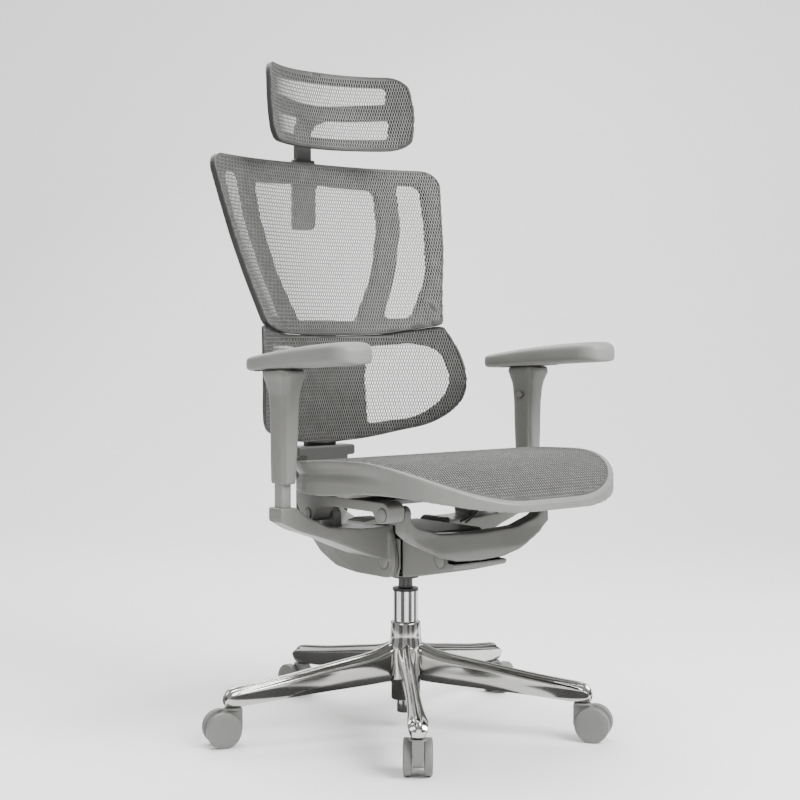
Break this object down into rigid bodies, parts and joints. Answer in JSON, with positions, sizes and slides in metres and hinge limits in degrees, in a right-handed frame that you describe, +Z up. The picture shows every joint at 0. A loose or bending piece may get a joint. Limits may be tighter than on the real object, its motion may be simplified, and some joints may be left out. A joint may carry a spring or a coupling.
{
  "type": "ergonomic task chair",
  "caption": "Ergonomic mesh task chair: castor star base, gas lift, synchro-tilt linkage, sliding mesh seat, split mesh back, headrest and adjustable arms.",
  "frame": {"origin": "on the floor, under the swivel axis", "axes": "+Z up; the sitter faces -Y; +X is the left hand of the sitter"},
  "size_m": [0.7254, 0.76, 1.225],
  "materials": {
    "polished_aluminium": "polished die-cast aluminium, dark and bright reflections",
    "chrome_tube": "bright chromed steel tube",
    "black_steel": "black painted steel",
    "bright_steel": "ground steel",
    "black_plastic": "black moulded plastic",
    "grey_plastic": "warm grey moulded plastic, fine grain",
    "dark_grey_plastic": "dark grey glass-filled nylon, fine grain",
    "grey_painted_metal": "warm grey powder-coated aluminium casting",
    "pad_polyurethane": "soft moulded polyurethane skin, fine leather grain",
    "castor_plastic": "grey moulded nylon",
    "castor_tread": "grey soft tread",
    "woven_mesh": "open woven elastomer mesh, grey threads"
  },
  "bodies": {
    "base": {"base_star": "polished_aluminium", "gas_lift_outer_tube": "chrome_tube", "gas_lift_bushing": "black_plastic"},
    "lift_rod": {"gas_lift_rod": "bright_steel", "gas_lift_clip": "black_steel", "gas_lift_thrust_bearing": "bright_steel"},
    "mechanism": {"gas_lift_cylinder": "black_steel", "mechanism_housing": "black_steel", "mechanism_front_cover": "grey_plastic", "main_pivot_shaft": "bright_steel", "front_pivot_shaft": "grey_plastic", "tilt_springs": "bright_steel"},
    "valve_pin": {"gas_valve_pin": "bright_steel"},
    "valve_lever": {"valve_lever": "bright_steel"},
    "recline": {"back_lever": "grey_painted_metal", "mechanism_rear_cover": "grey_plastic", "back_upright": "dark_grey_plastic", "arm_column_left": "grey_plastic", "arm_column_right": "grey_plastic"},
    "front_yoke": {"front_yoke": "grey_painted_metal"},
    "seat_carriage": {"seat_carriage": "grey_plastic", "carriage_pivot_pins": "bright_steel", "control_cables": "black_plastic"},
    "seat_depth_lever": {"seat_depth_lever": "grey_plastic"},
    "seat_height_lever": {"seat_height_lever": "grey_plastic"},
    "tilt_lock_lever": {"tilt_lock_lever": "grey_plastic"},
    "seat": {"seat_frame": "grey_plastic", "seat_mesh": "woven_mesh"},
    "back": {"back_spine": "dark_grey_plastic", "upper_back_frame": "grey_plastic", "upper_back_mesh": "woven_mesh", "headrest_bracket": "dark_grey_plastic"},
    "lumbar": {"lumbar_frame": "grey_plastic", "lumbar_mesh": "woven_mesh", "lumbar_guide_pins": "bright_steel"},
    "headrest_post": {"headrest_stem": "dark_grey_plastic", "headrest_hinge_pin": "bright_steel"},
    "headrest": {"headrest_frame": "grey_plastic", "headrest_mesh": "woven_mesh"},
    "arm_sleeve_left": {"arm_sleeve_left": "grey_plastic"},
    "arm_button_left": {"arm_button_left": "dark_grey_plastic"},
    "arm_swivel_left": {"arm_swivel_plate_left": "dark_grey_plastic"},
    "arm_pad_left": {"arm_pad_left": "pad_polyurethane"},
    "arm_sleeve_right": {"arm_sleeve_right": "grey_plastic"},
    "arm_button_right": {"arm_button_right": "dark_grey_plastic"},
    "arm_swivel_right": {"arm_swivel_plate_right": "dark_grey_plastic"},
    "arm_pad_right": {"arm_pad_right": "pad_polyurethane"},
    "castor_swivel_1": {"castor_fork_1": "castor_plastic"},
    "castor_roll_1": {"castor_wheels_1": "castor_tread"},
    "castor_swivel_2": {"castor_fork_2": "castor_plastic"},
    "castor_roll_2": {"castor_wheels_2": "castor_tread"},
    "castor_swivel_3": {"castor_fork_3": "castor_plastic"},
    "castor_roll_3": {"castor_wheels_3": "castor_tread"},
    "castor_swivel_4": {"castor_fork_4": "castor_plastic"},
    "castor_roll_4": {"castor_wheels_4": "castor_tread"},
    "castor_swivel_5": {"castor_fork_5": "castor_plastic"},
    "castor_roll_5": {"castor_wheels_5": "castor_tread"}
  },
  "joints": [
    {"name": "seat_swivel", "type": "hinge", "parent": "base", "child": "lift_rod", "pos_m": [0, 0, 0.046], "axis": [0, 0, 1], "continuous": true},
    {"name": "seat_height", "type": "slide", "parent": "lift_rod", "child": "mechanism", "axis": [0, 0, 1], "range_m": [-0.015, 0.085]},
    {"name": "seat_height_lever", "type": "hinge", "parent": "seat_carriage", "child": "seat_height_lever", "pos_m": [0.155, -0.125, 0.404], "axis": [0, -1, 0], "range_deg": [0, 7], "stiffness_Nm_per_rad": 1.2, "springref_deg": -4.58},
    {"name": "seat_depth_lever", "type": "hinge", "parent": "seat_carriage", "child": "seat_depth_lever", "pos_m": [-0.155, -0.125, 0.404], "axis": [0, 1, 0], "range_deg": [0, 7], "stiffness_Nm_per_rad": 1.2, "springref_deg": -4.58},
    {"name": "tilt_lock_lever", "type": "hinge", "parent": "seat_carriage", "child": "tilt_lock_lever", "pos_m": [0.155, -0.078, 0.404], "axis": [0, -1, 0], "range_deg": [0, 7], "stiffness_Nm_per_rad": 1.2, "springref_deg": -4.58},
    {"name": "valve_pin", "type": "slide", "parent": "mechanism", "child": "valve_pin", "axis": [0, 0, 1], "range_m": [-0.0027, 0]},
    {"name": "valve_lever", "type": "hinge", "parent": "mechanism", "child": "valve_lever", "pos_m": [0, -0.06, 0.341], "axis": [-1, 0, 0], "range_deg": [0, 2.45]},
    {"name": "recline", "type": "hinge", "parent": "mechanism", "child": "recline", "pos_m": [0, -0.031, 0.316], "axis": [-1, 0, 0], "range_deg": [0, 18], "stiffness_Nm_per_rad": 130, "springref_deg": -20.05},
    {"name": "front_yoke", "type": "hinge", "parent": "mechanism", "child": "front_yoke", "pos_m": [0, -0.168, 0.332], "axis": [-1, 0, 0], "range_deg": [0, 18.2]},
    {"name": "seat_carriage", "type": "hinge", "parent": "recline", "child": "seat_carriage", "pos_m": [0, 0.02, 0.406], "axis": [-1, 0, 0], "range_deg": [-12.1, 0]},
    {"name": "seat_depth", "type": "slide", "parent": "seat_carriage", "child": "seat", "axis": [0, -1, 0], "range_m": [-0.015, 0.035]},
    {"name": "back_height", "type": "slide", "parent": "recline", "child": "back", "axis": [0, 0, 1], "range_m": [0, 0.06]},
    {"name": "lumbar_depth", "type": "slide", "parent": "back", "child": "lumbar", "axis": [0, 1, 0], "range_m": [0, 0.006], "stiffness_N_per_m": 4000, "springref_m": -0.002},
    {"name": "headrest_height", "type": "slide", "parent": "back", "child": "headrest_post", "axis": [0, 0, 1], "range_m": [0, 0.06]},
    {"name": "headrest_tilt", "type": "hinge", "parent": "headrest_post", "child": "headrest", "pos_m": [0, 0.3, 1.136], "axis": [-1, 0, 0], "range_deg": [-15, 20]},
    {"name": "arm_height_left", "type": "slide", "parent": "recline", "child": "arm_sleeve_left", "axis": [0, 0, 1], "range_m": [-0.035, 0.045]},
    {"name": "arm_button_left", "type": "slide", "parent": "arm_sleeve_left", "child": "arm_button_left", "axis": [1, 0, 0], "range_m": [0, 0.003], "stiffness_N_per_m": 800, "springref_m": -0.001},
    {"name": "arm_swivel_left", "type": "hinge", "parent": "arm_sleeve_left", "child": "arm_swivel_left", "pos_m": [0.287, -0.023, 0.652], "axis": [0, 0.0506, 0.9987], "range_deg": [-20, 20]},
    {"name": "arm_pad_slide_left", "type": "slide", "parent": "arm_swivel_left", "child": "arm_pad_left", "axis": [0.0262, -0.9984, 0.0506], "range_m": [-0.025, 0.025]},
    {"name": "arm_height_right", "type": "slide", "parent": "recline", "child": "arm_sleeve_right", "axis": [0, 0, 1], "range_m": [-0.035, 0.045]},
    {"name": "arm_button_right", "type": "slide", "parent": "arm_sleeve_right", "child": "arm_button_right", "axis": [-1, 0, 0], "range_m": [0, 0.003], "stiffness_N_per_m": 800, "springref_m": -0.001},
    {"name": "arm_swivel_right", "type": "hinge", "parent": "arm_sleeve_right", "child": "arm_swivel_right", "pos_m": [-0.287, -0.023, 0.652], "axis": [0, 0.0506, 0.9987], "range_deg": [-20, 20]},
    {"name": "arm_pad_slide_right", "type": "slide", "parent": "arm_swivel_right", "child": "arm_pad_right", "axis": [-0.0262, -0.9984, 0.0506], "range_m": [-0.025, 0.025]},
    {"name": "castor_swivel_1", "type": "hinge", "parent": "base", "child": "castor_swivel_1", "pos_m": [0, 0.324, 0.07], "axis": [0, 0, 1], "continuous": true},
    {"name": "castor_roll_1", "type": "hinge", "parent": "castor_swivel_1", "child": "castor_roll_1", "pos_m": [0, 0.344, 0.031], "axis": [-1, 0, 0], "continuous": true},
    {"name": "castor_swivel_2", "type": "hinge", "parent": "base", "child": "castor_swivel_2", "pos_m": [-0.30814, 0.10012, 0.07], "axis": [0, 0, 1], "continuous": true},
    {"name": "castor_roll_2", "type": "hinge", "parent": "castor_swivel_2", "child": "castor_roll_2", "pos_m": [-0.32699, 0.1068, 0.031], "axis": [-0.3338, -0.9426, 0], "continuous": true},
    {"name": "castor_swivel_3", "type": "hinge", "parent": "base", "child": "castor_swivel_3", "pos_m": [-0.19044, -0.26212, 0.07], "axis": [0, 0, 1], "continuous": true},
    {"name": "castor_roll_3", "type": "hinge", "parent": "castor_swivel_3", "child": "castor_roll_3", "pos_m": [-0.17759, -0.2468, 0.031], "axis": [-0.766, 0.6428, 0], "continuous": true},
    {"name": "castor_swivel_4", "type": "hinge", "parent": "base", "child": "castor_swivel_4", "pos_m": [0.19044, -0.26212, 0.07], "axis": [0, 0, 1], "continuous": true},
    {"name": "castor_roll_4", "type": "hinge", "parent": "castor_swivel_4", "child": "castor_roll_4", "pos_m": [0.20133, -0.2789, 0.031], "axis": [0.8387, 0.5446, 0], "continuous": true},
    {"name": "castor_swivel_5", "type": "hinge", "parent": "base", "child": "castor_swivel_5", "pos_m": [0.30814, 0.10012, 0.07], "axis": [0, 0, 1], "continuous": true},
    {"name": "castor_roll_5", "type": "hinge", "parent": "castor_swivel_5", "child": "castor_roll_5", "pos_m": [0.32716, 0.1063, 0.031], "axis": [-0.309, 0.9511, 0], "continuous": true}
  ],
  "couplings": [
    {"joint": "front_yoke", "follows": "recline", "ratio": 1},
    {"joint": "seat_carriage", "follows": "recline", "ratio": -0.6636},
    {"joint": "valve_pin", "follows": "seat_height_lever", "m_per_rad": -0.0204},
    {"joint": "valve_lever", "follows": "seat_height_lever", "ratio": 0.3428}
  ]
}
